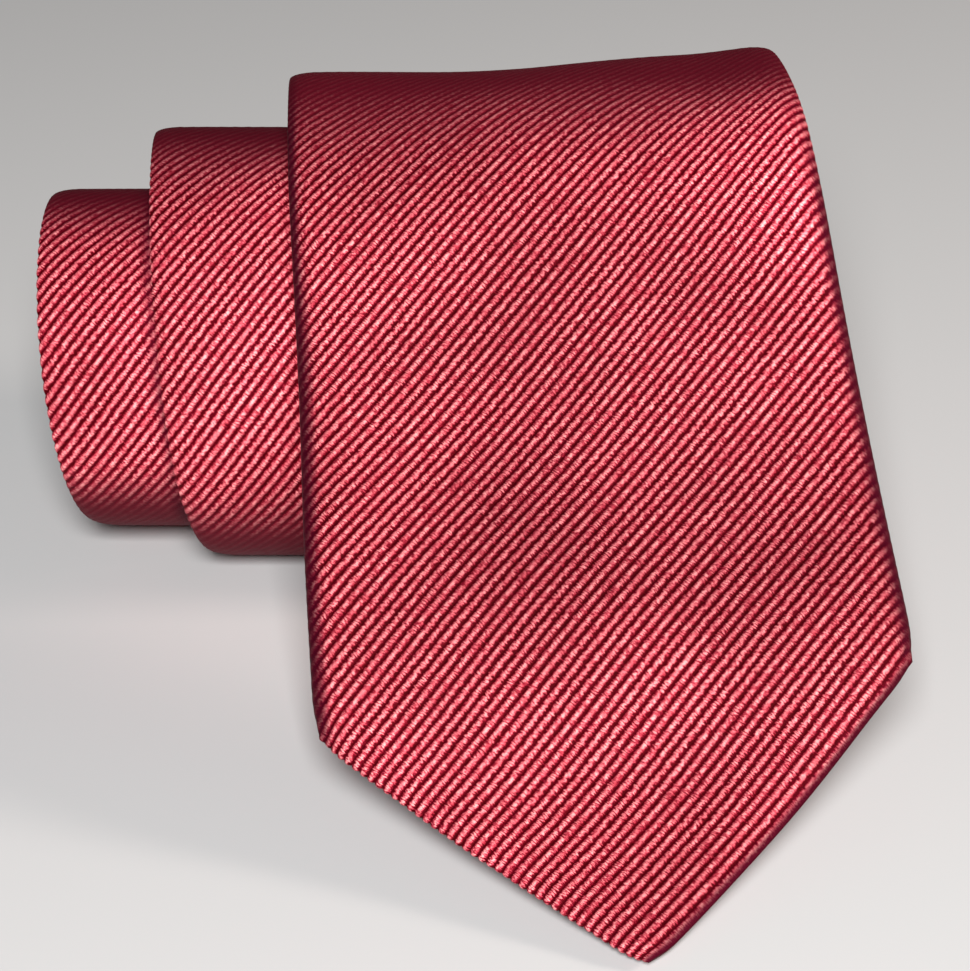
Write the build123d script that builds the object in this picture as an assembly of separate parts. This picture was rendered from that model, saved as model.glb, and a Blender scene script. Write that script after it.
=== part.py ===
from build123d import *
from collections import namedtuple
from math import cos, dist, radians, sin, sqrt
import os

# A gentleman's silk necktie, rolled from its narrow end for display.
#
# The tie stands on its loose roll. The wide blade comes over the top of the roll and slopes down
# to its point, which touches the table. The origin is the centre of the flat that the roll stands
# on. +X points along the roll's axis, +Y away from the blade's point, and +Z up.
#
# The strip is described flat, by the distance from the blade's point (station) and the distance
# from its centre line (across). It is then wrapped, without stretching, round a path of straights
# and arcs. Every layer of the strip lies at a depth below the outer face of that path.

# The flat strip
BLADE_WIDTH = 85.0
NARROW_WIDTH = 40.0         # from the collar to the narrow end
BLADE_TAPER = 0.074         # width lost for each millimetre along the wide blade

# The layers, as depths below the outer face
STRIP = 2.2
SILK = 0.4
SEAM_ALLOWANCE = 0.2
INTERLINING_TOP = 0.65
INTERLINING_BOTTOM = 1.4
TIPPING_TOP = 1.45
TIPPING_BOTTOM = 1.75
LAYER_MARGIN = 1.0          # how far the inner layers stay inside the folded edges

# The roll, from the blade's point inwards
TIP_SLOPE = 13.6
RUN_SLOPE = 38.5
CURL_RADIUS = 88.0          # the blade flattens out towards its point
CREST_RADIUS = 55.0         # over the top of the first turn
FIRST_TURN = (44.9, 33.4)   # quarter turns down the back and under
REST_FLAT = 14.0            # the roll's weight flattens its lowest stretch
SECOND_TURN = (27.4, 38.5, 29.2, 34.4)
THIRD_TURN = (27.5, 27.6, 26.5, 26.1)
CORE_OUTSIDE = 23.6         # the tight inner turns, as half turns
CORE_INSIDE = 4.9
CORE_STEP = 1.25            # each half turn is this much smaller

# How the strip wanders along the roll's axis
DRIFT_ANGLE = 7.7           # angle between the centre line and the way round the roll
DRIFT_END = 585.0           # past this station the turns lie straight above each other

# Construction
FREE_GAP = 0.3              # clearance where the free blade meets the roll
SLIT = 0.6                  # the two folded edges nearly meet along the centre of the back
SLIT_START = 98.0           # below it the folded edges part and show the lining
HEM_WIDTH = 10.0
TAIL_SLIT_END = 52.0
TAIL_HEM_WIDTH = 7.0
THREAD = 0.4
WIDE_SEAM_AT = 700.0
NARROW_SEAM_AT = 1030.0
SEAM_RIDGE = 7.0
BLADE_TACK_AT = 128.0
TAIL_TACK_FROM_END = 62.0
TACK_SIZE = (8.0, 1.8)
LABEL_AT = 134.0
LABEL_SIZE = (30.0, 16.0)
LOOP_AT = 160.0
LOOP_SIZE = (44.0, 12.0)
LOOP_RISE = 0.7
LOOP_TAB = 4.0
CARE_TAG_AT = 178.0
CARE_TAG_SIZE = (14.0, 18.0)
TRIM = 0.3                  # thickness of a label, a band or a bar tack
FINE_TRIM = 0.2
TIPPING_LENGTH = 112.0
TAIL_TIPPING_LENGTH = 70.0

REACH = 130.0               # longer than any prism has to be
BREAKOUT = 0.1              # how far a cut goes past the face that it opens
OVERRUN = 4.0               # prisms run past their stretch, whose own ends trim them
SPECK = 1e-4                # anything shorter is nothing

Stretch = namedtuple("Stretch", "start length turn y z heading")


def walk_path():
    """The path's straights and arcs, with the place and heading where each begins."""
    crest_height = sum(FIRST_TURN)
    run_top = crest_height - CREST_RADIUS * (1 - cos(radians(RUN_SLOPE)))
    curl_rise = CURL_RADIUS * (cos(radians(TIP_SLOPE)) - cos(radians(RUN_SLOPE)))
    tip_height = STRIP * cos(radians(TIP_SLOPE))
    run = (run_top - curl_rise - tip_height) / sin(radians(RUN_SLOPE))

    bends = [(CURL_RADIUS, RUN_SLOPE - TIP_SLOPE), (run, 0), (CREST_RADIUS, -RUN_SLOPE)]
    bends += [(radius, -90) for radius in FIRST_TURN]
    bends += [(REST_FLAT, 0)]
    bends += [(radius, -90) for radius in SECOND_TURN + THIRD_TURN]
    half_turns = int((CORE_OUTSIDE - CORE_INSIDE) / CORE_STEP) + 1
    for i in range(half_turns):
        bends += [(CORE_OUTSIDE - CORE_STEP * i, -90)] * 2

    back = CREST_RADIUS * sin(radians(RUN_SLOPE)) + FIRST_TURN[0] - FIRST_TURN[1]
    curl = CURL_RADIUS * (sin(radians(RUN_SLOPE)) - sin(radians(TIP_SLOPE)))
    y = REST_FLAT / 2 - back - run * cos(radians(RUN_SLOPE)) - curl
    z = tip_height
    heading = radians(TIP_SLOPE)
    start = 0.0
    stretches = []
    for size, degrees in bends:
        turn = radians(degrees)
        length = size * abs(turn) if turn else size
        stretches.append(Stretch(start, length, turn, y, z, heading))
        y, z = place(stretches[-1], start + length, 0)
        heading += turn
        start += length
    return stretches


def place(stretch, along, depth):
    """The (y, z) of a point at a distance along the path and a depth below the outer face."""
    travelled = along - stretch.start
    if not stretch.turn:
        y = stretch.y + travelled * cos(stretch.heading) + depth * sin(stretch.heading)
        z = stretch.z + travelled * sin(stretch.heading) - depth * cos(stretch.heading)
        return y, z
    radius = stretch.length / stretch.turn
    heading = stretch.heading + travelled / radius
    y = stretch.y + radius * (sin(heading) - sin(stretch.heading)) + depth * sin(heading)
    z = stretch.z - radius * (cos(heading) - cos(stretch.heading)) - depth * cos(heading)
    return y, z


PATH = walk_path()
TIE_LENGTH = PATH[-1].start + PATH[-1].length
LIFT_AT = PATH[2].start
REST_AT = PATH[5].start + REST_FLAT / 2
AXIS_SHIFT = REST_AT * sin(radians(DRIFT_ANGLE))
TAPER_END = BLADE_WIDTH / 2 + (BLADE_WIDTH - NARROW_WIDTH) / BLADE_TAPER


# ---- The flat strip -------------------------------------------------------------------------

def half_width(station, inset=0.0):
    """Half the strip's width, less an inset measured square to its edges."""
    blade = BLADE_WIDTH / 2 - BLADE_TAPER / 2 * (station - BLADE_WIDTH / 2)
    side = max(blade, NARROW_WIDTH / 2) - inset
    point = min(station, TIE_LENGTH - station) - inset * sqrt(2)
    return max(0.0, min(side, point))


def edge(side, first, last, inset=0.0):
    """Points along one edge, with a corner at each station where the width changes its rule."""
    shift = inset * (sqrt(2) - 1)
    wide = BLADE_WIDTH / 2 + shift / (1 + BLADE_TAPER / 2)
    narrow = TIE_LENGTH - NARROW_WIDTH / 2 - shift
    corners = [wide, DRIFT_END, TAPER_END, narrow]
    stations = [first] + sorted(s for s in corners if first < s < last) + [last]
    return [(s, side * half_width(s, inset)) for s in stations]


def whole_strip(inset=0.0, first=0.0, last=None):
    """The outline between two stations, drawn in from every edge."""
    tip = inset * sqrt(2)
    low = max(first, tip)
    high = min(TIE_LENGTH - tip, last if last else TIE_LENGTH)
    return edge(-1, low, high, inset) + edge(1, low, high, inset)[::-1]


def strip_between_seams(first, last, inset=0.0):
    """A length of strip whose ends are cut at 45 degrees, where it is pieced to the next."""
    tip = inset * sqrt(2)
    cuts = []
    for station in (first, last):
        if 0 < station < TIE_LENGTH:
            cuts.append((station, station + 2 * half_width(station)))
        else:
            end = min(max(station, tip), TIE_LENGTH - tip)
            cuts.append((end, end))
    low, high = cuts
    return edge(-1, low[0], high[0], inset) + edge(1, low[1], high[1], inset)[::-1]


def back_opening():
    """Where the back is open: the slit, and beyond it the spread that shows each lining."""
    hem = HEM_WIDTH * sqrt(2)
    half = SLIT / 2
    blade_corner = BLADE_WIDTH / 2 - 2
    spread = blade_corner - hem
    left = [(hem, 0), (blade_corner, -spread), (SLIT_START, -half), (DRIFT_END, -half)]
    tail_hem = TIE_LENGTH - TAIL_HEM_WIDTH * sqrt(2)
    tail_spread = NARROW_WIDTH / 2 - TAIL_HEM_WIDTH * sqrt(2)
    left += [(TIE_LENGTH - TAIL_SLIT_END, -half)]
    left += [(TIE_LENGTH - NARROW_WIDTH / 2, -tail_spread), (tail_hem, 0)]
    right = [(s, -u) for s, u in left[1:-1]]
    return left + right[::-1]


def patch(station, width, length, middle=0.0):
    """A rectangle on the strip, which follows the bend in its centre line."""
    end = station + length
    stations = [station] + [DRIFT_END] * (station < DRIFT_END < end) + [end]
    left = [(s, middle - width / 2) for s in stations]
    return left + [(s, middle + width / 2) for s in stations[::-1]]


def lay(station, across):
    """A point of the flat strip, as the distance along the roll's axis and along the path."""
    drift = radians(DRIFT_ANGLE)
    if station < DRIFT_END:
        x = AXIS_SHIFT - station * sin(drift) + across * cos(drift)
        return x, station * cos(drift) + across * sin(drift)
    x = AXIS_SHIFT - DRIFT_END * sin(drift) + across
    return x, DRIFT_END * cos(drift) + (station - DRIFT_END)


# ---- Wrapping -------------------------------------------------------------------------------

def clip(points, low, high):
    """The part of a laid-out outline between two distances along the path."""
    for bound, sign in ((low, 1), (high, -1)):
        kept = []
        for i, (x, along) in enumerate(points):
            last_x, last_along = points[i - 1]
            inside = sign * (along - bound) >= 0
            if inside != (sign * (last_along - bound) >= 0):
                share = (bound - last_along) / (along - last_along)
                kept.append((last_x + share * (x - last_x), bound))
            if inside:
                kept.append((x, along))
        points = kept
        if not points:
            break
    return points


def band(stretch, low, high, near, far):
    """The full-length band of one stretch, between two depths."""
    middle = (low + high) / 2
    corner = [(0, *place(stretch, at, depth)) for depth in (near, far) for at in (low, high)]
    if stretch.turn:
        outer = ThreePointArc(corner[0], (0, *place(stretch, middle, near)), corner[1])
        inner = ThreePointArc(corner[2], (0, *place(stretch, middle, far)), corner[3])
    else:
        outer = Line(corner[0], corner[1])
        inner = Line(corner[2], corner[3])
    sides = [Line(corner[0], corner[2]), Line(corner[1], corner[3])]
    return extrude(make_face([outer, inner] + sides), amount=REACH, dir=(1, 0, 0), both=True)


def prism(stretch, points, depth):
    """An outline laid on the stretch's chord, at a depth, and extruded square to it."""
    end = stretch.start + stretch.length
    first = place(stretch, stretch.start, depth)
    last = place(stretch, end, depth)
    chord = dist(first, last)
    way = ((last[0] - first[0]) / chord, (last[1] - first[1]) / chord)
    middle = ((first[0] + last[0]) / 2, (first[1] + last[1]) / 2)
    corners = []
    for x, along in points:
        within = min(max(along, stretch.start), end)
        share = (within - stretch.start) / stretch.length - 0.5
        offset = share * chord
        if stretch.turn:
            offset = chord / 2 * sin(share * stretch.turn) / sin(stretch.turn / 2)
        offset += along - within
        corner = (x, middle[0] + offset * way[0], middle[1] + offset * way[1])
        if not corners or min(dist(corner, corners[-1]), dist(corner, corners[0])) > SPECK:
            corners.append(corner)
    face = make_face(Polyline(*corners, close=True))
    return extrude(face, amount=REACH, dir=(0, -way[1], way[0]), both=True)


def wrap_one(stretch, outline, near, far, low=0.0, high=None):
    """One stretch's piece of a layer, or None where the outline doesn't reach it."""
    start = max(low, stretch.start)
    end = min(high or TIE_LENGTH, stretch.start + stretch.length)
    laid = [lay(station, across) for station, across in outline]
    if end - start < SPECK or not clip(laid, start, end):
        return None
    points = clip(laid, start - OVERRUN, end + OVERRUN)
    return band(stretch, start, end, near, far) & prism(stretch, points, (near + far) / 2)


def wrap(outline, near, far, low=0.0, high=None):
    """The pieces of a layer, one for each stretch of the path between two distances."""
    pieces = [wrap_one(stretch, outline, near, far, low, high) for stretch in PATH]
    return [piece for piece in pieces if piece]


def join(pieces):
    """One solid out of pieces that meet end to end."""
    return pieces[0].fuse(*pieces[1:]) if len(pieces) > 1 else pieces[0]


def folded_shell(outline, core, low=0.0, high=None):
    """Silk wrapped round both edges of the strip, open along the centre of its back."""
    block = join(wrap(outline, 0, STRIP, low, high))
    hollow = join(wrap(core, SILK, STRIP - SILK, low, high))
    opening = join(wrap(back_opening(), STRIP - 2 * SILK, STRIP + BREAKOUT, low, high))
    return block - hollow - opening


# ---- Sub-parts ------------------------------------------------------------------------------

def blade_shell_end():
    """The free end of the wide blade's silk."""
    outline = strip_between_seams(0, WIDE_SEAM_AT)
    core = strip_between_seams(0, WIDE_SEAM_AT, SILK)
    return folded_shell(outline, core, 0, LIFT_AT - FREE_GAP / 2)


def blade_shell_wound():
    """The same silk from the top of the roll to the first piecing seam."""
    outline = strip_between_seams(0, WIDE_SEAM_AT)
    core = strip_between_seams(0, WIDE_SEAM_AT + SILK, SILK)
    return folded_shell(outline, core, LIFT_AT + FREE_GAP / 2)


def neck_shell():
    """The middle length of silk, which goes round the collar."""
    outline = strip_between_seams(WIDE_SEAM_AT, NARROW_SEAM_AT)
    core = strip_between_seams(WIDE_SEAM_AT - SILK, NARROW_SEAM_AT + SILK, SILK)
    return folded_shell(outline, core)


def tail_shell():
    """The last length of silk, with the narrow end's point."""
    outline = strip_between_seams(NARROW_SEAM_AT, TIE_LENGTH)
    core = strip_between_seams(NARROW_SEAM_AT - SILK, TIE_LENGTH, SILK)
    return folded_shell(outline, core)


def piecing_seam(station):
    """Pressed-open seam allowances behind a 45 degree join."""
    outline = strip_between_seams(station - SEAM_RIDGE / 2, station + SEAM_RIDGE / 2, LAYER_MARGIN)
    return join(wrap(outline, SILK, SILK + SEAM_ALLOWANCE))


def interlining(low, high):
    """The wool layer that gives the tie its body."""
    return join(wrap(whole_strip(LAYER_MARGIN), INTERLINING_TOP, INTERLINING_BOTTOM, low, high))


def blade_tipping():
    """Lining behind the blade's point, seen between the folded edges."""
    outline = whole_strip(LAYER_MARGIN, last=TIPPING_LENGTH)
    return join(wrap(outline, TIPPING_TOP, TIPPING_BOTTOM, 0, LIFT_AT - FREE_GAP / 2))


def tail_tipping():
    """Lining behind the narrow end's point."""
    outline = whole_strip(LAYER_MARGIN, first=TIE_LENGTH - TAIL_TIPPING_LENGTH)
    return join(wrap(outline, TIPPING_TOP, TIPPING_BOTTOM))


def slip_stitch():
    """The one long thread that closes the back, lying in the slit."""
    first = BLADE_TACK_AT
    length = TIE_LENGTH - TAIL_TACK_FROM_END - first
    return join(wrap(patch(first, THREAD, length), STRIP - SILK, STRIP - 0.05))


def bar_tack(station, height):
    """A short dense bar of stitches across the closed back."""
    return join(wrap(patch(station, *TACK_SIZE), STRIP, STRIP + height))


def keeper_loop():
    """A band of the same silk across the back, sewn down at both ends, for the narrow end."""
    width, length = LOOP_SIZE
    top = STRIP + LOOP_RISE
    pieces = wrap(patch(LOOP_AT, width, length), top, top + SILK)
    for side in (-1, 1):
        tab = patch(LOOP_AT, LOOP_TAB, length, side * (width - LOOP_TAB) / 2)
        pieces += wrap(tab, STRIP, top)
    return join(pieces)


def label():
    """A plain woven label, with nothing on it."""
    return join(wrap(patch(LABEL_AT, *LABEL_SIZE), STRIP, STRIP + TRIM))


def care_tag():
    """A smaller blank tag, further up the back."""
    return join(wrap(patch(CARE_TAG_AT, *CARE_TAG_SIZE), STRIP, STRIP + TRIM))


def thread_loop():
    """The spare loop left at the narrow end, which lets the slip stitch give."""
    station = TIE_LENGTH - TAIL_TACK_FROM_END + 3 * TACK_SIZE[1]
    outer = patch(station, 4.0, 9.0)
    inner = patch(station + FINE_TRIM * 2, 4.0 - FINE_TRIM * 4, 9.0 - FINE_TRIM * 4)
    cut = wrap(inner, STRIP, STRIP + FINE_TRIM)
    return join([piece - cut for piece in wrap(outer, STRIP, STRIP + FINE_TRIM)])


def build():
    lift = (LIFT_AT - FREE_GAP / 2, LIFT_AT + FREE_GAP / 2)
    return {
        "blade_shell_end": blade_shell_end(),
        "blade_shell_wound": blade_shell_wound(),
        "neck_shell": neck_shell(),
        "tail_shell": tail_shell(),
        "wide_piecing_seam": piecing_seam(WIDE_SEAM_AT),
        "narrow_piecing_seam": piecing_seam(NARROW_SEAM_AT),
        "interlining_end": interlining(0, lift[0]),
        "interlining_wound": interlining(lift[1], TIE_LENGTH),
        "blade_tipping": blade_tipping(),
        "tail_tipping": tail_tipping(),
        "slip_stitch": slip_stitch(),
        "blade_bar_tack": bar_tack(BLADE_TACK_AT, TRIM),
        "tail_bar_tack": bar_tack(TIE_LENGTH - TAIL_TACK_FROM_END, FINE_TRIM),
        "keeper_loop": keeper_loop(),
        "label": label(),
        "care_tag": care_tag(),
        "thread_loop": thread_loop(),
    }


os.makedirs("parts", exist_ok=True)
for name, shape in build().items():
    export_step(shape, f"parts/{name}.step")
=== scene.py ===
from math import cos, pi, radians, sin, sqrt

import bpy
import numpy as np
from mathutils import Matrix, Vector


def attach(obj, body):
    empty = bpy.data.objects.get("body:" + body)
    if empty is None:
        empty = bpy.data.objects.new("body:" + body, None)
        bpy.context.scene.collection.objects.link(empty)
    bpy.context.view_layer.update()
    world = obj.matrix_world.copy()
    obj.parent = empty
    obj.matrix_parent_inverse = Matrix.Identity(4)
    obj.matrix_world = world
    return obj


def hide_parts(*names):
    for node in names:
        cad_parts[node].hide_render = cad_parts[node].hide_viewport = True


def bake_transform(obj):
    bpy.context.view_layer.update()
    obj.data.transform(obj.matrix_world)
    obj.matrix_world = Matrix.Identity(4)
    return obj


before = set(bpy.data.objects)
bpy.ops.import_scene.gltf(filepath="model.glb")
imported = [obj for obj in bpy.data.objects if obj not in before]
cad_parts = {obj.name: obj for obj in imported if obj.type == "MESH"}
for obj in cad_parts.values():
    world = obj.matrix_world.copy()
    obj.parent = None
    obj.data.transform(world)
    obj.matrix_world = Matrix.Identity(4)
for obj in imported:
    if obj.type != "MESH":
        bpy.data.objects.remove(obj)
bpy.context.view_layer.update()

# Everything is described on the flat strip in millimetres, and wrapped round the roll's path.
# s is the distance from the blade's point and u the distance across, positive to the right.
# The ribs lie at 45 degrees: p runs along a rib and q counts across the ribs.
MM = 0.001
ROOT2 = sqrt(2)

# The strip and the roll, as the CAD part has them
BLADE_WIDTH = 85.0
NARROW_HALF = 20.0
TAPER = 0.074 / 2
STRIP = 2.2
MIDDLE = STRIP / 2
TIP_SLOPE = radians(13.6)
RUN_SLOPE = radians(38.5)
CURL_RADIUS = 88.0
CREST_RADIUS = 55.0
FIRST_TURN = (44.9, 33.4)
REST_FLAT = 14.0
INNER_TURNS = (27.4, 38.5, 29.2, 34.4, 27.5, 27.6, 26.5, 26.1)
CORE = [23.6 - 1.25 * i for i in range(15)]
DRIFT = radians(7.7)
DRIFT_END = 585.0
WIDE_SEAM_AT = 700.0
NARROW_SEAM_AT = 1030.0
SLIT_HALF = 0.3
SLIT_START = 98.0
HEM = 10.0
TAIL_HEM = 7.0
TAIL_SLIT_END = 52.0
TAIL_PARTING = 22.0         # the length over which the back flaps part at the narrow end

# The silk
RIB = 1.44
RIB_HEIGHT = 0.30
RIB_ROWS = (0.0, 0.14, 0.32, 0.5, 0.68, 0.86)
COARSE_ROWS = (0.0, 0.25, 0.5, 0.75)
FRONT_DEPTH = 0.1
BACK_DEPTH = STRIP - FRONT_DEPTH
EDGE_TUCK = 0.35            # how far a free edge on the back turns in
FRONT_ROLL = 4.2            # width over which the front rolls off to an edge
BACK_ROLL = 1.6
BULGE_ROLL = 9.0            # width over which the back swells out beside a plump edge
RIM = 1.25 * np.array([0, 0.12, 0.45, 1.0, 1.9, 3.1, 4.6])    # columns of the front beside an edge
HEM_COLUMNS = 50
CORNER_ROWS = 60
CORNER_COLUMNS = 12
# Tones of painted light on the silk: painted shade at the edges with a painted contact shadow, painted
# shade over the turns' tops and bottoms, and painted light and shade; the plain tone has none
PAINTED_TONES = ("rolled", "turned", "painted_light_shade")
PLAIN_TONE = (0.0, 0.0, 1.0)

# The way the strip lies
CORE_SHIFT = 5.0            # the inner turns sit a little to the right of the third
DRIFT_FADE = 45.0           # the drift fades out over this length before and after its end
CREST_AT = 150.0
RIGHT_LEAN = 2.7
LEFT_LEAN = 1.9
CORNER_RISE = 1.1
SLOW_WAVE = 1.3
SLOW_WAVE_LENGTH = 76.0
LONG_RIPPLE = 0.30
SHORT_RIPPLE = 0.34
VIEW_TILT = 0.47            # the front is seen from this angle above the level, in radians


# ---- The path ---------------------------------------------------------------------------------

def walk_path():
    """Rows of start, length, turn, y, z and heading, for the path's straights and arcs."""
    crest_height = sum(FIRST_TURN)
    run_top = crest_height - CREST_RADIUS * (1 - cos(RUN_SLOPE))
    curl_rise = CURL_RADIUS * (cos(TIP_SLOPE) - cos(RUN_SLOPE))
    tip_height = STRIP * cos(TIP_SLOPE)
    run = (run_top - curl_rise - tip_height) / sin(RUN_SLOPE)
    quarter = -pi / 2
    bends = [(CURL_RADIUS, RUN_SLOPE - TIP_SLOPE), (run, 0), (CREST_RADIUS, -RUN_SLOPE)]
    bends += [(radius, quarter) for radius in FIRST_TURN] + [(REST_FLAT, 0)]
    bends += [(radius, quarter) for radius in INNER_TURNS]
    bends += [(radius, quarter) for radius in CORE for _ in range(2)]

    back = CREST_RADIUS * sin(RUN_SLOPE) + FIRST_TURN[0] - FIRST_TURN[1]
    curl = CURL_RADIUS * (sin(RUN_SLOPE) - sin(TIP_SLOPE))
    y = REST_FLAT / 2 - back - run * cos(RUN_SLOPE) - curl
    z = tip_height
    heading = TIP_SLOPE
    start = 0.0
    rows = []
    for size, turn in bends:
        length = size * abs(turn) if turn else size
        rows.append((start, length, turn, y, z, heading))
        if turn:
            radius = length / turn
            y += radius * (sin(heading + turn) - sin(heading))
            z -= radius * (cos(heading + turn) - cos(heading))
        else:
            y += length * cos(heading)
            z += length * sin(heading)
        heading += turn
        start += length
    return np.array(rows)


PATH = walk_path()
TIE_LENGTH = PATH[-1, 0] + PATH[-1, 1]
REST_AT = PATH[5, 0] + REST_FLAT / 2
AXIS_SHIFT = REST_AT * sin(DRIFT)
TAIL_END = TIE_LENGTH / ROOT2


def smooth(value, low, high):
    """0 below low, 1 above high and a smooth rise between them."""
    t = np.clip((value - low) / (high - low), 0, 1)
    return t * t * (3 - 2 * t)


def between(value, low, full, fading, gone):
    """A smooth rise from low to full and a smooth fall from fading to gone."""
    return smooth(value, low, full) * (1 - smooth(value, fading, gone))


def hump(value, middle, reach):
    """1 at the middle, falling off on both sides over the reach."""
    return np.exp(-((value - middle) / reach) ** 2)


def swell(s, u):
    """How far the cloth stands out from the plain path: the crest's lean, a slow wave, ripples."""
    lean = np.where(u > 0, RIGHT_LEAN, LEFT_LEAN) * (u / 40) + CORNER_RISE * smooth(u, 24, 40)
    crest = lean * hump(s, CREST_AT, 38)
    slow = SLOW_WAVE * np.sin(2 * pi * (s - 110 + 0.25 * u) / SLOW_WAVE_LENGTH)
    ripples = (SHORT_RIPPLE * np.sin(s / 7.3 + u / 17 + 0.6)
               + LONG_RIPPLE * np.sin(s / 11.9 - u / 8.8 + 2.1))
    rippled = between(s, 14, 45, 195, 235) + 0.35 * between(s, 300, 325, 400, 430)
    return crest + slow * between(s, 12, 40, 135, 165) + ripples * rippled


# The drift's angle at stations along the strip, and how far the strip has gone sideways and forward
STEP = 0.5
LEAD = 40                   # steps before the point
STATIONS = np.arange(-LEAD * STEP, TIE_LENGTH + LEAD * STEP, STEP)
SLANT = DRIFT * (1 - smooth(STATIONS, DRIFT_END - DRIFT_FADE, DRIFT_END + DRIFT_FADE))
SIDEWAYS = (np.cumsum(np.sin(SLANT)) - LEAD * sin(DRIFT)) * STEP
FORWARD = (np.cumsum(np.cos(SLANT)) - LEAD * cos(DRIFT)) * STEP


def lay(s, u):
    """x and the distance along the path, for places on the strip."""
    slant = np.interp(s, STATIONS, SLANT)
    x = AXIS_SHIFT - np.interp(s, STATIONS, SIDEWAYS) + u * np.cos(slant)
    along = np.interp(s, STATIONS, FORWARD) + u * np.sin(slant)
    return x + CORE_SHIFT * smooth(s, 600, 662), along


def path_at(along):
    """y, z and heading at distances along the path."""
    row = PATH[np.clip(np.searchsorted(PATH[:, 0], along, side="right") - 1, 0, len(PATH) - 1)]
    start, length, turn, y, z, heading = np.moveaxis(row, -1, 0)
    travelled = along - start
    bent = turn != 0
    radius = np.where(bent, length / np.where(bent, turn, 1), 1.0)
    there = np.where(bent, heading + travelled / radius, heading)
    y = y + np.where(bent, radius * (np.sin(there) - np.sin(heading)), travelled * np.cos(heading))
    z = z + np.where(bent, radius * (np.cos(heading) - np.cos(there)), travelled * np.sin(heading))
    return y, z, there


def wrap(s, u, depth):
    """Points of the flat strip, at a depth below its face, as x, y, z in metres."""
    x, along = lay(s, u)
    y, z, heading = path_at(along)
    depth = depth - swell(s, u)
    return np.stack([x, y + depth * np.sin(heading), z - depth * np.cos(heading)], -1) * MM


def half_width(s):
    """Half the strip's width past the shoulders."""
    return np.maximum(BLADE_WIDTH / 2 - TAPER * (s - BLADE_WIDTH / 2), NARROW_HALF)


# ---- Silk -------------------------------------------------------------------------------------

SHOULDER = BLADE_WIDTH / ROOT2
BLADE_LINE = ROOT2 * BLADE_WIDTH / 2 * (1 + TAPER)
MITRE = sqrt(2) - 1
OPEN_CORNER = (BLADE_WIDTH / 2 - 2) * ROOT2 - HEM     # where the hem's edge meets the flap's
OPEN_END = (SLIT_START + SLIT_HALF) / ROOT2


def right_edge(q):
    """The p at which the rib q ends at the strip's right edge."""
    blade = ((1 - TAPER) * q + BLADE_LINE) / (1 + TAPER)
    return np.minimum(np.maximum(blade, q + NARROW_HALF * ROOT2), TAIL_END)


def left_edge(q):
    """The p at which the rib q starts at the strip's left edge."""
    blade = ((1 + TAPER) * q - BLADE_LINE) / (1 - TAPER)
    return np.maximum(np.minimum(blade, q - NARROW_HALF * ROOT2), 0)


def flap_limit(p):
    """How far along q the right flap reaches on the back at each p."""
    spread = HEM + (p - OPEN_CORNER) * (OPEN_END - HEM) / (OPEN_END - OPEN_CORNER)
    slit = p - SLIT_HALF * ROOT2
    past_slit = p * ROOT2 - (TIE_LENGTH - TAIL_SLIT_END)
    parted = np.minimum(past_slit, TAIL_PARTING) / TAIL_PARTING
    half_gap = SLIT_HALF + parted * (NARROW_HALF - TAIL_HEM * ROOT2)
    limit = np.where(p < OPEN_END, np.minimum(spread, slit), slit)
    return np.where(past_slit > 0, p - half_gap * ROOT2, limit)


def mirrored_limit(p):
    """The lowest q that the left flap reaches on the back, at each p."""
    slope = (OPEN_END - OPEN_CORNER) / (OPEN_END - HEM)
    spread = OPEN_CORNER + (p - HEM) * slope
    slit = p + SLIT_HALF * ROOT2
    return np.where(p < OPEN_END, np.maximum(spread, slit), slit)


def thickness_share(p, q, roll):
    """1 over the flat of the strip, falling to 0 in a quarter round at every edge."""
    s = (p + q) / ROOT2
    u = (p - q) / ROOT2
    side = half_width(s)
    share = 1.0
    for inside in (p, q, side - u, side + u, TAIL_END - p, TAIL_END - q):
        t = 1 - np.clip(inside / roll, 0, 1)
        share = share * np.sqrt(1 - t * t)
    return share


def painted_edge_shade(p, q, back):
    """Painted shade: 1 where the cloth's edges roll out of the light, on the lower blade's sides and the
    point's right edge, and a painted contact shadow beside the second turn.
    """
    s = (p + q) / ROOT2
    u = (p - q) / ROOT2
    side = half_width(s) - np.abs(u)
    reach = np.where(u < 0, 2.9 - 1.1 * smooth(s, 100, 125), 2.5)
    fading = np.where(u < 0, 140, 112)
    edges = (1 - smooth(side, 0.9, reach)) * between(s, 36, 46, fading, fading + 32)
    point = (1 - smooth(q, 0.35, 1.6)) * (1 - smooth(s, 40, 50))
    covered = -4.9 - 0.0016 * (s - 563) ** 2      # where the second turn's edge lies on the third
    # a painted contact shadow along that edge
    contact_shadow = 0.8 * hump(u, covered, 1.0) * between(s, 495, 505, 595, 605)
    return np.where(back, 0.5, 1.0) * np.maximum(np.maximum(edges, point), contact_shadow)


def painted_turn_shade(s, u):
    """Painted shade: 1 where a turn of the roll goes over its top or under its bottom, 0 on its front
    and back.
    """
    heading = path_at(lay(s, u)[1])[2]
    facing = np.sin(heading + VIEW_TILT)
    return between(facing, -0.30, -0.02, 0.42, 0.82) * smooth(s, 60, 110)


def painted_light_shade_tone(s, u):
    """Painted light and shade, as a share of the silk's plain tone: brighter turn fronts, a painted
    highlight on the upper right, painted shade in the middle and on the right of the lower blade.
    """
    turns = (0.15 * smooth(s, 300, 320) + 0.14 * smooth(s, 490, 520)) * (1 - painted_turn_shade(s, u))
    # a painted highlight along the upper right edge
    corner = 0.70 * smooth(u, 12, 42) * hump(s, 122, 36)
    # painted shade across the middle and the right of the lower blade
    centre = -0.16 * hump(s, 78, 34) * hump(u, 0, 28)
    side = -0.13 * smooth(u, 5, 30) * between(s, 20, 40, 80, 110)
    point = 0.12 * (1 - smooth(s, 18, 45))
    upper = 0.12 * smooth(s, 100, 120)
    return 1 + turns + corner + centre + side + point + upper


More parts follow.
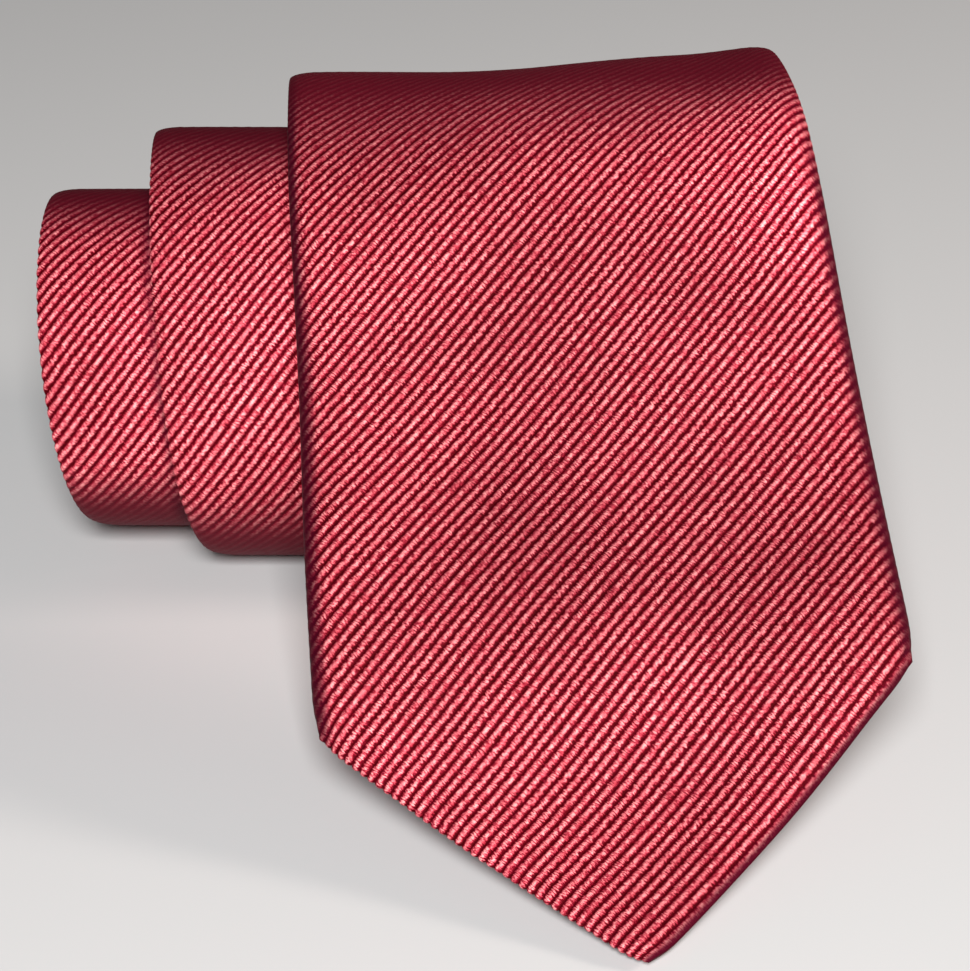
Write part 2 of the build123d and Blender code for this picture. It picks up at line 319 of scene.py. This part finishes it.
def silk_surface(p, q, flat_p, flat_q, back, tuck):
    """Places a grid of cloth, which lies at p, q and is the part flat_p, flat_q of the flat cloth."""
    s = (p + q) / ROOT2
    u = (p - q) / ROOT2
    share = np.where(back, thickness_share(p, q, BACK_ROLL), thickness_share(p, q, FRONT_ROLL))
    plump = (0.4 + 1.2 * smooth(s, 34, 50)) * between(s, 9, 30, 118, 150)
    bulge = plump * (1 - thickness_share(p, q, BULGE_ROLL) ** 2)
    edge_depth = MIDDLE + plump
    full_depth = np.where(back, BACK_DEPTH + bulge, FRONT_DEPTH)
    depth = edge_depth + share * (full_depth - edge_depth)
    # the points and the shoulders are a little blunt
    blunt = 1.1 * hump(s, 0, 2.2) - 0.8 * hump(s, TIE_LENGTH, 2.2)
    shoulder = 0.7 * hump(s, BLADE_WIDTH / 2, 3.5) * hump(np.abs(u), half_width(s), 3)
    place = wrap(s + blunt, u - np.sign(u) * shoulder, depth - tuck)
    along = np.gradient(place, axis=1)
    across = np.gradient(place, axis=0)
    normal = np.cross(along, across)
    normal /= np.maximum(np.linalg.norm(normal, axis=-1, keepdims=True), 1e-12)
    height = np.abs(np.sin(pi * flat_q / RIB))
    uneven = 1 + 0.16 * np.sin(flat_p / 3.1 + flat_q / 5.7) * np.sin(flat_q / 1.9 + 0.4)
    # Painted shade masks on the edges and over the turns, which also flatten the ribs there, and painted
    # light and shade
    rolled = painted_edge_shade(p, q, back)
    turned = painted_turn_shade(s, u)
    lift = RIB_HEIGHT * (1 - 0.85 * rolled) * (1 - 0.85 * turned) * (height * uneven - 0.75)
    lift = np.where(tuck > 0, 0, lift * np.clip(np.abs(flat_q) / 0.5, 0, 1))
    tones = np.stack([rolled, turned, painted_light_shade_tone(s, u)], -1)
    return place + normal * lift[..., None] * MM, tones


def rib_rows(low, high, rows):
    """Values of q from low to high, with the same rows on every rib."""
    first = int(low // RIB)
    last = int(high // RIB) + 1
    at = np.array([(i + row) * RIB for i in range(first, last) for row in rows])
    return np.concatenate([[low], at[(at > low + 0.02) & (at < high - 0.02)], [high]])


def make(name, points, faces, material, cloth=None, tones=None):
    """A piece from points and faces, with its flat cloth coordinates and tones, if it has them."""
    mesh = bpy.data.meshes.new(name)
    mesh.from_pydata(points.reshape(-1, 3).tolist(), [], faces)
    if cloth is not None:
        layer = mesh.uv_layers.new(name="cloth")
        loops = np.zeros(len(mesh.loops), dtype=np.int32)
        mesh.loops.foreach_get("vertex_index", loops)
        layer.data.foreach_set("uv", cloth.reshape(-1, 2)[loops].astype(np.float32).ravel())
    if tones is not None:
        for column, tone in enumerate(PAINTED_TONES):
            layer = mesh.attributes.new(tone, "FLOAT", "POINT")
            layer.data.foreach_set("value", tones[:, column].astype(np.float32))
    mesh.polygons.foreach_set("use_smooth", [True] * len(mesh.polygons))
    mesh.materials.append(material)
    piece = bpy.data.objects.new(name, mesh)
    bpy.context.collection.objects.link(piece)
    return piece


def grid_faces(rows, columns, first):
    """The quads of a grid of points, whose first point has the number first."""
    at = np.arange(rows * columns).reshape(rows, columns) + first
    quads = np.stack([at[:-1, :-1], at[:-1, 1:], at[1:, 1:], at[1:, :-1]], -1)
    return quads.reshape(-1, 4).tolist()


def add_grid(grids, p, lie_q, flat_p, flat_q, back, tuck):
    """Adds a grid of cloth to a list of grids. Each holds its shape, points, cloth and tones."""
    points, tones = silk_surface(p, lie_q, flat_p, flat_q, back, tuck)
    cloth = np.stack([flat_p, flat_q], -1).reshape(-1, 2)
    grids.append((p.shape, points.reshape(-1, 3), cloth, tones.reshape(-1, 3)))


def add_point_back(grids, rows):
    """The right-hand hem, which folds along a rib, and the corner of the flap beside it."""
    hem = rib_rows(0, HEM, rows)[:, None]
    ends = np.linspace(0, 1, HEM_COLUMNS)[None, :]
    hem_p = np.minimum(hem + (SHOULDER - hem) * ends, SHOULDER)
    back = np.ones(hem_p.shape, bool)
    add_grid(grids, hem_p, hem + 0 * ends, hem_p, -hem + 0 * ends, back, np.zeros(hem_p.shape))

    low = (OPEN_CORNER - SHOULDER) / (1 - TAPER) * (1 + TAPER)
    side_q = np.linspace(low, 0, CORNER_ROWS)[:, None]
    side_p = SHOULDER + side_q * (1 - TAPER) / (1 + TAPER)
    ends = np.linspace(0, 1, CORNER_COLUMNS)[None, :]
    lie = HEM + np.maximum(flap_limit(side_p) - HEM, 0) * ends
    back = np.ones(lie.shape, bool)
    add_grid(grids, side_p + 0 * ends, lie, side_p + lie - side_q, side_q + 0 * ends, back,
             np.zeros(lie.shape))


def silk_piece(name, low, high, middle_columns, material, rows=RIB_ROWS, flaps=10):
    """A length of the folded silk between two ribs: face, rolled edges and back flaps."""
    q = rib_rows(low, high, rows)[:, None]
    left = left_edge(q)
    right = right_edge(q)
    inner = np.linspace(0, 1, middle_columns + 2)[1:-1]
    flat_width = right - left - 2 * RIM[-1]
    middle = left + RIM[-1] + flat_width * inner
    face = np.concatenate([left + RIM, middle, right - RIM[::-1]], axis=1)

    # on the left of the back: the hem of the left tip edge, then the left flap
    reach = np.linspace(0, 1, flaps + 1)[1:] ** 1.6
    corner = q < SHOULDER
    hem_reach = np.minimum(np.minimum(HEM, q), np.maximum(SHOULDER - q, 0) / MITRE)
    stop = np.where(left < HEM, SHOULDER - MITRE * left, mirrored_limit(left))
    out_left = np.where(corner, hem_reach, np.maximum(q - stop, 0.0))
    left_p = np.where(corner, out_left * reach, left)[:, ::-1]
    left_q = np.where(corner, q, q - out_left * reach)[:, ::-1]
    left_flat = (left - out_left * reach)[:, ::-1]

    # on the right of the back: the right flap, then the hem of the narrow end
    at_tail = right >= TAIL_END - 1e-6
    out_right = np.where(at_tail, np.minimum(TAIL_HEM, np.maximum(TAIL_END - q, 0)),
                         np.maximum(flap_limit(right) - q, 0))
    right_p = np.where(at_tail, right - out_right * reach, right + 0 * reach)
    right_q = np.where(at_tail, q + 0 * reach, q + out_right * reach)
    right_flat = right + out_right * reach

    # the first and last columns are tucked in under the flaps' free edges
    p = np.concatenate([left_p[:, :1], left_p, face, right_p, right_p[:, -1:]], axis=1)
    lie_q = np.concatenate([left_q[:, :1], left_q, q + 0 * face, right_q, right_q[:, -1:]], axis=1)
    flat_p = np.concatenate([left_flat[:, :1] - EDGE_TUCK, left_flat, face, right_flat,
                             right_flat[:, -1:] + EDGE_TUCK], axis=1)
    back = np.zeros(p.shape, bool)
    back[:, :flaps + 1] = True
    back[:, -flaps - 1:] = True
    tuck = np.zeros(p.shape)
    tuck[:, [0, -1]] = EDGE_TUCK

    grids = []
    add_grid(grids, p, lie_q, flat_p, q + 0 * p, back, tuck)
    if low == 0:
        add_point_back(grids, rows)
    faces = []
    count = 0
    for shape, points, _, _ in grids:
        faces += grid_faces(*shape, count)
        count += len(points)
    points, cloth, tones = [np.concatenate([grid[part] for grid in grids]) for part in (1, 2, 3)]
    return make(name, points, faces, material, cloth, tones)


# ---- Other cloth and threads -------------------------------------------------------------------

def slab(name, s, u, top, bottom, material):
    """A closed thin layer over a grid of s and u. Its long edges are rounded."""
    s, u, top, bottom = np.broadcast_arrays(s, u, top, bottom)
    rows, columns = s.shape
    half = np.hypot(u[:, -1:] - u[:, :1], s[:, -1:] - s[:, :1]) / 2
    inside = (1 - np.abs(np.linspace(-1, 1, columns)[None, :])) * half
    t = 1 - np.clip(inside / (bottom - top), 0, 1)
    share = np.maximum(np.sqrt(1 - t * t), 0.15)
    centre = (top + bottom) / 2
    upper = wrap(s, u, centre - (centre - top) * share)
    lower = wrap(s, u, centre + (bottom - centre) * share)
    loop = np.concatenate([upper, lower[:, ::-1]], axis=1)
    at = np.arange(rows * 2 * columns).reshape(rows, 2 * columns)
    beside = np.roll(at, -1, axis=1)
    faces = np.stack([at[:-1], beside[:-1], beside[1:], at[1:]], -1).reshape(-1, 4).tolist()
    for row, last in ((at[0], False), (at[-1], True)):
        ends = np.stack([row[:columns - 1], row[1:columns],
                         row[::-1][1:columns], row[::-1][:columns - 1]], -1)
        faces += (ends if last else ends[:, ::-1]).tolist()
    cloth = np.stack([np.concatenate([u, u[:, ::-1]], 1), np.concatenate([s, s[:, ::-1]], 1)], -1)
    tones = np.tile(PLAIN_TONE, (rows * 2 * columns, 1))
    return make(name, loop, faces, material, cloth, tones)


def strip_slab(name, stations, half, top, bottom, material, slot, columns):
    """A slab as long as its stations and half as wide as half says at each."""
    u = half[:, None] * np.linspace(-1, 1, columns)[None, :]
    return slab(name, stations[:, None], u, top, bottom, material)


def tube(points, radius):
    """Vertices and faces of a round thread along a line of points in metres."""
    sides = 7
    way = np.gradient(points, axis=0)
    way /= np.maximum(np.linalg.norm(way, axis=1, keepdims=True), 1e-12)
    side = np.cross(way, np.array([0.31, 0.52, 0.79]))
    side /= np.maximum(np.linalg.norm(side, axis=1, keepdims=True), 1e-9)
    other = np.cross(way, side)
    turn = np.linspace(0, 2 * pi, sides, endpoint=False)
    ring = points[:, None] + radius * (np.cos(turn)[None, :, None] * side[:, None]
                                       + np.sin(turn)[None, :, None] * other[:, None])
    at = np.arange(len(points) * sides).reshape(len(points), sides)
    beside = np.roll(at, -1, axis=1)
    faces = np.stack([at[:-1], beside[:-1], beside[1:], at[1:]], -1).reshape(-1, 4).tolist()
    faces += [at[0][::-1].tolist(), at[-1].tolist()]
    return ring.reshape(-1, 3), faces


def threads(name, lines, radius):
    """Several threads as one piece."""
    clouds = []
    faces = []
    count = 0
    for line in lines:
        ring, quads = tube(line, radius * MM)
        faces += [[vertex + count for vertex in quad] for quad in quads]
        clouds.append(ring)
        count += len(ring)
    return make(name, np.concatenate(clouds), faces, thread)


def fine(low, high, step):
    """Evenly spaced values from low to high, about a step apart."""
    return np.linspace(low, high, max(2, int(round((high - low) / step)) + 1))


# ---- Materials ---------------------------------------------------------------------------------

def new_material(name):
    """A material, its node tree and its shader."""
    material = bpy.data.materials.new(name)
    material.use_nodes = True
    tree = material.node_tree
    return material, tree, tree.nodes["Principled BSDF"]


def node(tree, kind, inputs=(), **settings):
    """A node, with its settings and with values or links for its inputs by index or name."""
    made = tree.nodes.new(kind)
    for key, value in settings.items():
        setattr(made, key, value)
    for key, value in dict(inputs).items():
        if isinstance(value, bpy.types.NodeSocket):
            tree.links.new(value, made.inputs[key])
        else:
            made.inputs[key].default_value = value
    return made


def maths(tree, operation, a, b=0.0):
    """The result of a maths node on a and b, which may each be a value or a socket."""
    return node(tree, "ShaderNodeMath", {0: a, 1: b}, operation=operation).outputs[0]


def mixed(tree, share, a, b, blend="MIX"):
    """The colour a mixed with b, which may each be a value or a socket."""
    made = node(tree, "ShaderNodeMix", {}, data_type="RGBA", blend_type=blend)
    for socket, value in ((made.inputs[0], share), (made.inputs[6], a), (made.inputs[7], b)):
        if isinstance(value, bpy.types.NodeSocket):
            tree.links.new(value, socket)
        else:
            socket.default_value = value
    return made.outputs[2]


def ramp(tree, factor, stops):
    """A colour from a factor, through stops of place and colour."""
    made = node(tree, "ShaderNodeValToRGB", {0: factor})
    elements = made.color_ramp.elements
    while len(elements) < len(stops):
        elements.new(0.5)
    for element, (place, colour) in zip(elements, stops):
        element.position = place
        element.color = (*colour, 1)
    return made.outputs[0]


def silk_material():
    """Ribbed silk: its own crimson, with painted shade in the grooves, painted highlights on the pink
    crests as pale flecks, and fine threads crossing each rib.
    """
    material, tree, shader = new_material("silk")
    uv = node(tree, "ShaderNodeUVMap", uv_map="cloth").outputs[0]
    split = node(tree, "ShaderNodeSeparateXYZ", {0: uv})
    p, q = split.outputs[0], split.outputs[1]

    def streaks(along_rib, across_rib, detail, offset):
        place = node(tree, "ShaderNodeCombineXYZ",
                     {0: maths(tree, "MULTIPLY", p, along_rib),
                      1: maths(tree, "MULTIPLY", q, across_rib), 2: offset}).outputs[0]
        return node(tree, "ShaderNodeTexNoise", {"Vector": place, "Scale": 1.0, "Detail": detail,
                                                 "Roughness": 0.6}).outputs[0]

    fine_threads = streaks(5.2, 1.5, 2.0, 0.0)
    patches = streaks(0.75, 0.62, 2.0, 7.0)
    phase = maths(tree, "FRACT", maths(tree, "DIVIDE", q, RIB))
    height = maths(tree, "SINE", maths(tree, "MULTIPLY", phase, pi))
    ragged = maths(tree, "MULTIPLY", maths(tree, "SUBTRACT", fine_threads, 0.5), 2.3)
    crest = maths(tree, "ADD", maths(tree, "MULTIPLY", height, 0.92), ragged)
    # The ribs' colour by their height: the grooves darkened with painted shade, the crests lightened
    # with painted highlights that break into pale flecks
    rib_colour_with_painted_light = ramp(tree, crest, [(0.26, (0.070, 0.0002, 0.003)), (0.50, (0.16, 0.001, 0.010)),
                              (0.63, (0.38, 0.026, 0.05)), (0.84, (0.62, 0.10, 0.13)),
                              (1.0, (0.90, 0.35, 0.34))])
    tone = ramp(tree, patches, [(0.38, (0.76, 0.46, 0.54)), (0.58, (1, 1, 1))])
    patched_painted_ribs = mixed(tree, 1.0, rib_colour_with_painted_light, tone, "MULTIPLY")
    # Broad random patches of painted shade over the silk
    broad = node(tree, "ShaderNodeTexNoise",
                 {"Vector": uv, "Scale": 0.03, "Detail": 1.5}).outputs[0]
    broad_painted_shade = ramp(tree, broad, [(0.36, (0.72, 0.66, 0.68)), (0.60, (1, 1, 1))])
    cloth = mixed(tree, 1.0, patched_painted_ribs, broad_painted_shade, "MULTIPLY")
    rolled, turned, painted_light_shade = [node(tree, "ShaderNodeAttribute", attribute_name=tone).outputs["Fac"]
                              for tone in PAINTED_TONES]
    # Painted light and shade, then painted shade over the turns' tops and bottoms, then painted shade on
    # the edges and the contact shadow
    painted_lit = mixed(tree, 1.0, cloth, painted_light_shade, "MULTIPLY")
    turn_shaded = mixed(tree, maths(tree, "MULTIPLY", turned, 0.96), painted_lit, (0.11, 0.004, 0.013, 1))
    edge_shaded = mixed(tree, maths(tree, "MULTIPLY", rolled, 0.93), turn_shaded, (0.05, 0.001, 0.008, 1))
    tree.links.new(edge_shaded, shader.inputs["Base Color"])
    shader.inputs["Metallic"].default_value = 0.35

    rough = maths(tree, "ADD", 0.46, maths(tree, "MULTIPLY", fine_threads, 0.25))
    tree.links.new(rough, shader.inputs["Roughness"])
    shader.inputs["Specular IOR Level"].default_value = 0.04
    relief = maths(tree, "ADD", fine_threads, maths(tree, "MULTIPLY", patches, 0.3))
    bump = node(tree, "ShaderNodeBump", {"Strength": 0.8, "Distance": 0.00016, "Height": relief})
    tree.links.new(bump.outputs[0], shader.inputs["Normal"])
    return material


def woven_material(name, colour, dark, rough, pitch, sheen=0.0, relief=0.04 * MM):
    """A plain fine weave of one colour."""
    material, tree, shader = new_material(name)
    uv = node(tree, "ShaderNodeUVMap", uv_map="cloth").outputs[0]
    split = node(tree, "ShaderNodeSeparateXYZ", {0: uv})
    warp = maths(tree, "SINE", maths(tree, "MULTIPLY", split.outputs[0], 2 * pi / pitch))
    weft = maths(tree, "SINE", maths(tree, "MULTIPLY", split.outputs[1], 2 * pi / pitch))
    weave = maths(tree, "MULTIPLY", warp, weft)
    noise = node(tree, "ShaderNodeTexNoise", {"Vector": uv, "Scale": 0.6, "Detail": 3.0}).outputs[0]
    both = maths(tree, "ADD", maths(tree, "MULTIPLY", weave, 0.25), noise)
    tree.links.new(ramp(tree, both, [(0.25, dark), (0.75, colour)]), shader.inputs["Base Color"])
    tree.links.new(maths(tree, "ADD", rough, maths(tree, "MULTIPLY", noise, 0.15)),
                   shader.inputs["Roughness"])
    shader.inputs["Sheen Weight"].default_value = sheen
    bump = node(tree, "ShaderNodeBump", {"Strength": 0.5, "Distance": relief, "Height": weave})
    tree.links.new(bump.outputs[0], shader.inputs["Normal"])
    return material


def thread_material():
    """Twisted silk thread, a little lighter than the ribs."""
    material, tree, shader = new_material("thread")
    place = node(tree, "ShaderNodeTexCoord").outputs["Object"]
    noise = node(tree, "ShaderNodeTexNoise",
                 {"Vector": place, "Scale": 3000.0, "Detail": 2.0}).outputs[0]
    tree.links.new(ramp(tree, noise, [(0.3, (0.22, 0.008, 0.02)), (0.7, (0.62, 0.05, 0.09))]),
                   shader.inputs["Base Color"])
    tree.links.new(maths(tree, "ADD", 0.35, maths(tree, "MULTIPLY", noise, 0.3)),
                   shader.inputs["Roughness"])
    return material


silk = silk_material()
lining = woven_material("lining", (0.36, 0.02, 0.045), (0.25, 0.012, 0.03), 0.3, 0.3, sheen=0.1)
wool = woven_material("interlining", (0.83, 0.79, 0.70), (0.66, 0.62, 0.53), 0.8, 0.9, sheen=0.3,
                      relief=0.1 * MM)
ribbon = woven_material("label", (0.10, 0.02, 0.03), (0.05, 0.01, 0.015), 0.28, 0.35)
tape = woven_material("care_tag", (0.88, 0.87, 0.84), (0.76, 0.75, 0.72), 0.5, 0.35)
thread = thread_material()

# ---- Stage -------------------------------------------------------------------------------------

bpy.ops.mesh.primitive_plane_add(size=6, location=(0, 0, 0))
floor = bpy.context.object
floor.name = "floor"
pale, _, pale_shader = new_material("floor")
pale_shader.inputs["Base Color"].default_value = (0.50, 0.50, 0.50, 1)
pale_shader.inputs["Roughness"].default_value = 0.8
floor.data.materials.append(pale)

# ---- Building ----------------------------------------------------------------------------------

# The silk is cut along these ribs. All that the lifted blade moves lies before the first cut.
FREE_CUT = 113 * RIB
WIDE_CUT = (WIDE_SEAM_AT + NARROW_HALF) / ROOT2
NARROW_CUT = (NARROW_SEAM_AT + NARROW_HALF) / ROOT2

pieces = {
    "silk_blade_free": silk_piece("silk_blade_free", 0, FREE_CUT, 30, silk),
    "silk_blade_wound": silk_piece("silk_blade_wound", FREE_CUT, WIDE_CUT, 20, silk),
    "silk_neck": silk_piece("silk_neck", WIDE_CUT, NARROW_CUT, 14, silk, COARSE_ROWS, 7),
    "silk_tail": silk_piece("silk_tail", NARROW_CUT, TAIL_END, 14, silk, COARSE_ROWS, 7),
}
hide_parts("blade_shell_end", "blade_shell_wound")
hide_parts("blade_shell_wound")
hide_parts("neck_shell")
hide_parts("tail_shell")

# The inner layers: how far they stay in from the strip's edges, and between which depths they lie
INSET = 3.4
WOOL_DEPTHS = (0.65, 1.4)
LINING_DEPTHS = (1.45, 1.75)
FIRST = 5.0
LAST = TIE_LENGTH - FIRST
FREE_LAYER_END = 210
TIPPING_END = 112
TAIL_TIPPING_START = TIE_LENGTH - 70


def layer(name, low, high, step, depths, material, slot, columns):
    """A layer inside the strip, from one station to another."""
    s = fine(low, high, step)
    point = np.minimum(s, TIE_LENGTH - s) - INSET * ROOT2
    half = np.maximum(np.minimum(half_width(s) - INSET, point), 0.05)
    pieces[name] = strip_slab(name, s, half, *depths, material, slot, columns)


layer("interlining_free", FIRST, FREE_LAYER_END, 2, WOOL_DEPTHS, wool, "interlining", 24)
layer("interlining_roll", FREE_LAYER_END, LAST, 2, WOOL_DEPTHS, wool, "interlining", 12)
layer("tipping_blade", FIRST, TIPPING_END, 1.5, LINING_DEPTHS, lining, "lining", 30)
layer("tipping_tail", TAIL_TIPPING_START, LAST, 1, LINING_DEPTHS, lining, "lining", 12)
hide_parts("interlining_end", "interlining_wound")
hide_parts("interlining_wound")
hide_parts("blade_tipping")
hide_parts("tail_tipping")


def seam_ridge(name, cut):
    """The pressed-open seam allowances behind a 45 degree join."""
    margin = 1.5
    q = cut + np.linspace(-2.4, 2.4, 9)[:, None]
    width = right_edge(q) - left_edge(q) - 2 * margin
    p = left_edge(q) + margin + width * np.linspace(0, 1, 24)[None, :]
    return slab(name, (p + q) / ROOT2, (p - q) / ROOT2, 0.42, 0.62, silk)


SLIP_START = 128
SLIP_END = TIE_LENGTH - 62
TACK_PAST = 0.9             # each bar tack lies this far on from its end of the slip stitch


def slip_thread():
    """One thread that goes from fold to fold all along the slit."""
    stitch = 3.0
    half_stitch = 0.42
    stations = fine(SLIP_START, SLIP_END, stitch)
    sides = np.where(np.arange(len(stations)) % 2, half_stitch, -half_stitch)
    return threads("slip_thread", [wrap(stations, sides, BACK_DEPTH)], 0.13)


def bar_tack(name, station, thickness):
    """A dense bar of stitches over two long ones."""
    half_bar = 4.0
    half_stitch = 0.9
    count = 49
    across = np.linspace(-half_bar, half_bar, count)
    sides = np.where(np.arange(count) % 2, 1, -1)
    over = wrap(station + half_stitch * sides, across, STRIP + thickness)
    core = [wrap(station + at + 0 * across, across, STRIP) for at in (-0.4, 0.4)]
    return threads(name, [over] + core, thickness)


def end_stitches(station, length, half, depth):
    """Overcast stitches down the two short sides of a label."""
    lines = []
    for side in (-1, 1):
        at = fine(station + 0.6, station + length - 0.6, 0.8)
        sides = side * (half + np.where(np.arange(len(at)) % 2, 0.5, -0.9))
        lines.append(wrap(at, sides, depth))
    return lines


TAG_THICKNESS = 0.3
STITCH_LIFT = 0.02
LABEL_AT = 134
LABEL_LENGTH = 16
LABEL_HALF = 15
CARE_TAG_AT = 178
CARE_TAG_LENGTH = 18
CARE_TAG_HALF = 7
KEEPER_AT = 160
KEEPER_LENGTH = 12
KEEPER_HALF = 22
KEEPER_THICKNESS = 0.4
KEEPER_GAP = 0.7


def tag(name, station, length, half, material, slot, columns):
    """A flat piece of ribbon that lies on the back of the blade."""
    stations = fine(station, station + length, 0.8)
    halves = np.full(len(stations), half)
    return strip_slab(name, stations, halves, STRIP, STRIP + TAG_THICKNESS, material, slot, columns)


def keeper():
    """The band across the back of the blade, which stands clear of it between its two ends."""
    s = fine(KEEPER_AT, KEEPER_AT + KEEPER_LENGTH, 0.5)[:, None]
    u = np.linspace(-KEEPER_HALF, KEEPER_HALF, 90)[None, :]
    clear = 1 - smooth(np.abs(u), KEEPER_HALF - 4.5, KEEPER_HALF - 2.5)
    top = STRIP + KEEPER_GAP * clear + 0 * s
    return slab("keeper", s, u, top, top + KEEPER_THICKNESS, silk)


def spare_loop():
    """A small pear-shaped loop of spare thread at the narrow end of the slip stitch."""
    round_it = np.linspace(0, 2 * pi, 33)
    half_length = 4.4
    half_across = 1.9
    s = TIE_LENGTH - TAIL_SLIT_END - 0.1 - half_length * np.cos(round_it)
    u = half_across * np.sin(round_it) * (1 + 0.2 * np.cos(round_it))
    return threads("spare_loop", [wrap(s, u, STRIP + 0.1 + 0 * round_it)], 0.09)


pieces["seam_wide"] = seam_ridge("seam_wide", WIDE_CUT)
pieces["seam_narrow"] = seam_ridge("seam_narrow", NARROW_CUT)
pieces["slip_thread"] = slip_thread()
pieces["bar_tack_blade"] = bar_tack("bar_tack_blade", SLIP_START + TACK_PAST, 0.15)
pieces["bar_tack_tail"] = bar_tack("bar_tack_tail", SLIP_END + TACK_PAST, 0.1)
pieces["keeper"] = keeper()
pieces["back_label"] = tag("back_label", LABEL_AT, LABEL_LENGTH, LABEL_HALF, ribbon, "label", 40)
stitches = end_stitches(LABEL_AT, LABEL_LENGTH, LABEL_HALF - 0.2, STRIP + TAG_THICKNESS + STITCH_LIFT)
pieces["label_stitches"] = threads("label_stitches", stitches, 0.1)
pieces["care_tape"] = tag("care_tape", CARE_TAG_AT, CARE_TAG_LENGTH, CARE_TAG_HALF, tape, "care_tag", 20)
pieces["spare_loop"] = spare_loop()
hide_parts("wide_piecing_seam")
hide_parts("narrow_piecing_seam")
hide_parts("slip_stitch")
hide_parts("blade_bar_tack")
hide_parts("tail_bar_tack")
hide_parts("keeper_loop")
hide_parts("label")
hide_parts("label")
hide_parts("care_tag")
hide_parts("thread_loop")


def cloth_area(piece, layers=1):
    """The flat area of a piece's cloth in square metres, from its cloth coordinates."""
    mesh = piece.data
    flat = np.zeros(len(mesh.loops) * 2, np.float32)
    mesh.uv_layers["cloth"].data.foreach_get("uv", flat)
    corner = flat.reshape(-1, 4, 2).astype(float)
    one = corner[:, 2] - corner[:, 0]
    two = corner[:, 3] - corner[:, 1]
    return float(np.abs(one[:, 0] * two[:, 1] - one[:, 1] * two[:, 0]).sum() / 2 * MM * MM / layers)


cloth_area(pieces["silk_blade_free"])
cloth_area(pieces["silk_blade_wound"])
cloth_area(pieces["silk_neck"])
cloth_area(pieces["silk_tail"])
cloth_area(pieces["interlining_free"], 2)
cloth_area(pieces["interlining_roll"], 2)
cloth_area(pieces["tipping_blade"], 2)
cloth_area(pieces["tipping_tail"], 2)

# These pieces are moved by the lifted blade; they are baked in place, the rest attached to the roll
LIFTED = ("silk_blade_free", "interlining_free", "tipping_blade")
for name, piece in pieces.items():
    if name in LIFTED:
        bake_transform(piece)
    else:
        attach(piece, "roll")

# ---- Light -------------------------------------------------------------------------------------

def area_light(name, place, aim, size, power, colour=(1, 1, 1)):
    """A soft square light at a place, turned towards its aim."""
    data = bpy.data.lights.new(name, "AREA")
    data.size = size
    data.energy = power
    data.color = colour
    lamp = bpy.data.objects.new(name, data)
    lamp.location = place
    lamp.rotation_euler = (Vector(aim) - Vector(place)).to_track_quat("-Z", "Y").to_euler()
    bpy.context.collection.objects.link(lamp)


area_light("key", (0.08, -1.0, 0.70), (0, -0.04, 0.03), 0.30, 26)
area_light("rim", (0.85, -0.10, 0.42), (0.03, 0, 0.06), 0.20, 5, (1.0, 0.88, 0.8))
world = bpy.data.worlds.new("studio")
world.use_nodes = True
sky = world.node_tree.nodes["Background"]
sky.inputs["Color"].default_value = (1, 1, 1, 1)
sky.inputs["Strength"].default_value = 0.06
bpy.context.scene.world = world
bpy.context.scene.view_settings.view_transform = "Standard"

# ---- Camera ------------------------------------------------------------------------------------

TARGET = Vector((0.018807, -0.140295, 0.077444))
DISTANCE = 0.434455
ELEVATION = radians(26.93)
AZIMUTH = radians(4.853)
ROLL = radians(-2.055)
back = Vector((sin(AZIMUTH) * cos(ELEVATION), -cos(AZIMUTH) * cos(ELEVATION), sin(ELEVATION)))
level = Vector((cos(AZIMUTH), sin(AZIMUTH), 0))
above = back.cross(level)
right = cos(ROLL) * level + sin(ROLL) * above
up = -sin(ROLL) * level + cos(ROLL) * above
lens = bpy.data.cameras.new("camera")
lens.lens = 132.83
lens.sensor_width = 36
camera = bpy.data.objects.new("camera", lens)
turned_to = Matrix((right, up, back)).transposed().to_4x4()
camera.matrix_world = Matrix.Translation(TARGET + back * DISTANCE) @ turned_to
bpy.context.collection.objects.link(camera)
bpy.context.scene.camera = camera
